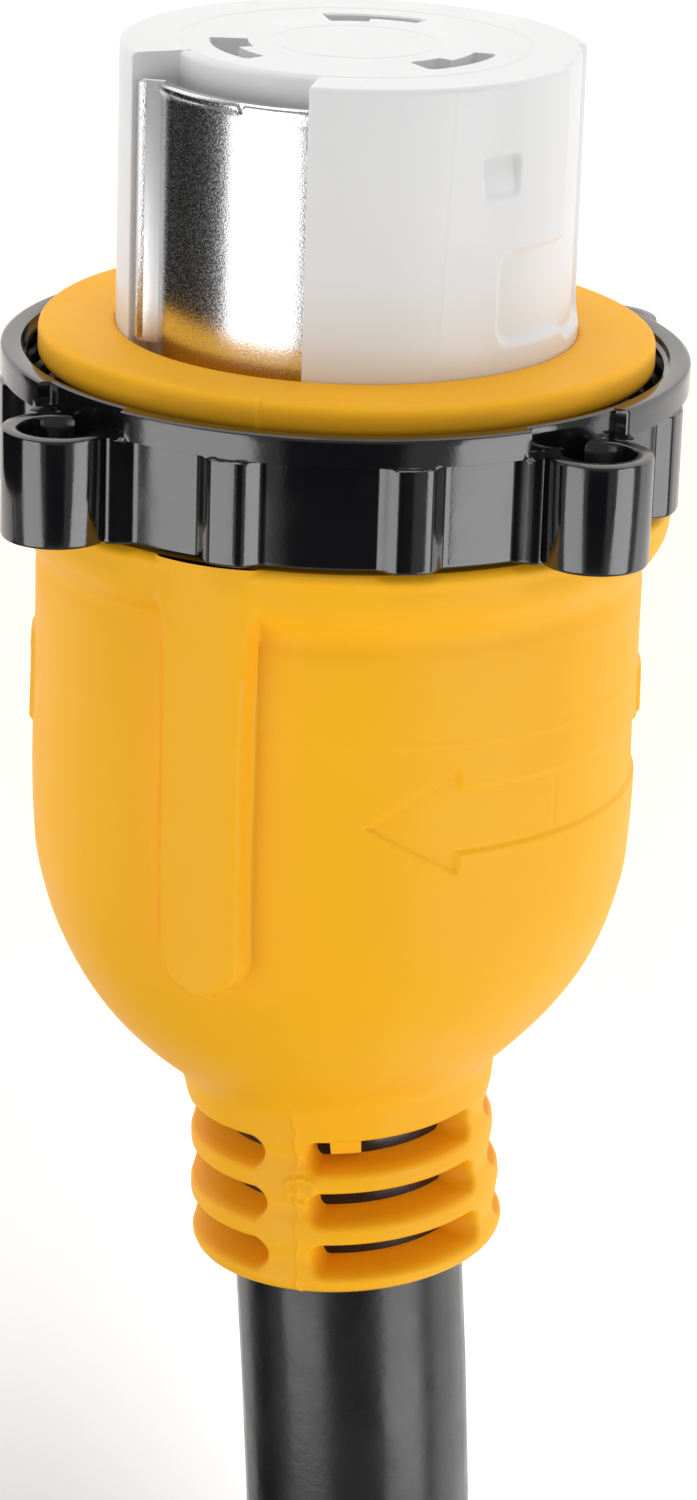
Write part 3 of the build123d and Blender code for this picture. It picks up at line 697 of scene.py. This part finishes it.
# ------------------------------------------------------------------ materials on the CAD pieces
LOOKS = {"rear_insulator": BLACK, "assembly_screws": STEEL, "terminal_screws": STEEL,
         "hot_contact_x": BRASS, "hot_contact_y": BRASS, "neutral_contact": BRASS,
         "ground_terminal": BRASS, "ground_shell": NICKEL, "front_insulator": WHITE,
         "sealing_gasket": GASKET, "handle_body": YELLOW, "locking_ring": RING,
         "slip_washer": BLACK, "cord_grip": BLACK, "jacket_in_connector": JACKET,
         "coil_tie_left": STRAP, "coil_tie_right": STRAP, "coil_tie_front": STRAP,
         "plug_body": YELLOW, "plug_face": BLACK, "hot_blade_x": BRASS, "hot_blade_y": BRASS,
         "neutral_blade": BRASS, "ground_pin": BRASS, "jacket_in_plug": JACKET}
for node, look in LOOKS.items():
    dress(node, look)
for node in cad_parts:
    colour = node.split("_")[0]
    if "_wire_" in node:
        dress(node, WIRES[colour])
    if "_strands_" in node:
        dress(node, COPPER)


# ------------------------------------------------------------------ floor and lights
def floor():
    """White floor that gives off a little light, so that it stays white behind the part."""
    size = 3.0
    z = FLOOR * MM
    corners = [(-size, -size, z), (size, -size, z), (size, size, z), (-size, size, z)]
    plane = mesh_object("floor", corners, [(0, 1, 2, 3)])
    mat, _, shader = material("floor_white", (0.95, 0.95, 0.95), 0.8, specular=0.1)
    shader.inputs["Emission Color"].default_value = (1, 1, 1, 1)
    shader.inputs["Emission Strength"].default_value = 0.42
    plane.data.materials.append(mat)


def softbox(name, place, aim, width, height, watts):
    """Rectangular lamp at a place, turned towards a point."""
    data = bpy.data.lights.new(name, "AREA")
    data.shape = "RECTANGLE"
    data.size = width
    data.size_y = height
    data.energy = watts
    lamp = link(bpy.data.objects.new(name, data))
    lamp.location = place
    toward = Vector(aim) - Vector(place)
    side = toward.cross(Vector((0, 1, 0))).normalized()
    along = side.cross(toward).normalized()
    lamp.rotation_euler = Matrix((side, along, -toward.normalized())).transposed().to_euler()


def dark_card(name, corners):
    """A dark studio screen that only shows as a reflection."""
    card = mesh_object(name, corners, [(0, 1, 2, 3)])
    card.data.materials.append(material(name, (0.01, 0.01, 0.01), 0.9, specular=0.0)[0])
    card.visible_camera = False
    card.visible_diffuse = False
    card.visible_shadow = False


floor()
dark_card("side_card", [(0.11, -0.02, -0.045), (0.11, 0.072, -0.045), (0.11, 0.072, 0.060),
                        (0.11, -0.02, 0.060)])
dark_card("over_card", [(-0.26, 0.0, 0.72), (0.25, 0.0, 0.72), (0.25, 0.62, 0.72),
                        (-0.26, 0.62, 0.72)])
world = bpy.data.worlds.new("studio")
world.use_nodes = True
world.node_tree.nodes["Background"].inputs["Color"].default_value = (1, 1, 1, 1)
world.node_tree.nodes["Background"].inputs["Strength"].default_value = 0.3
bpy.context.scene.world = world
PART = (0, 0.06, 0)
softbox("left_softbox", (0.59, 0.30, 0.54), PART, 0.58, 0.8, 3.7)
softbox("right_softbox", (-0.66, 0.30, 0.45), PART, 0.55, 0.8, 4.2)
softbox("front_softbox", (0.05, -0.95, 0.22), PART, 0.8, 0.5, 3.2)
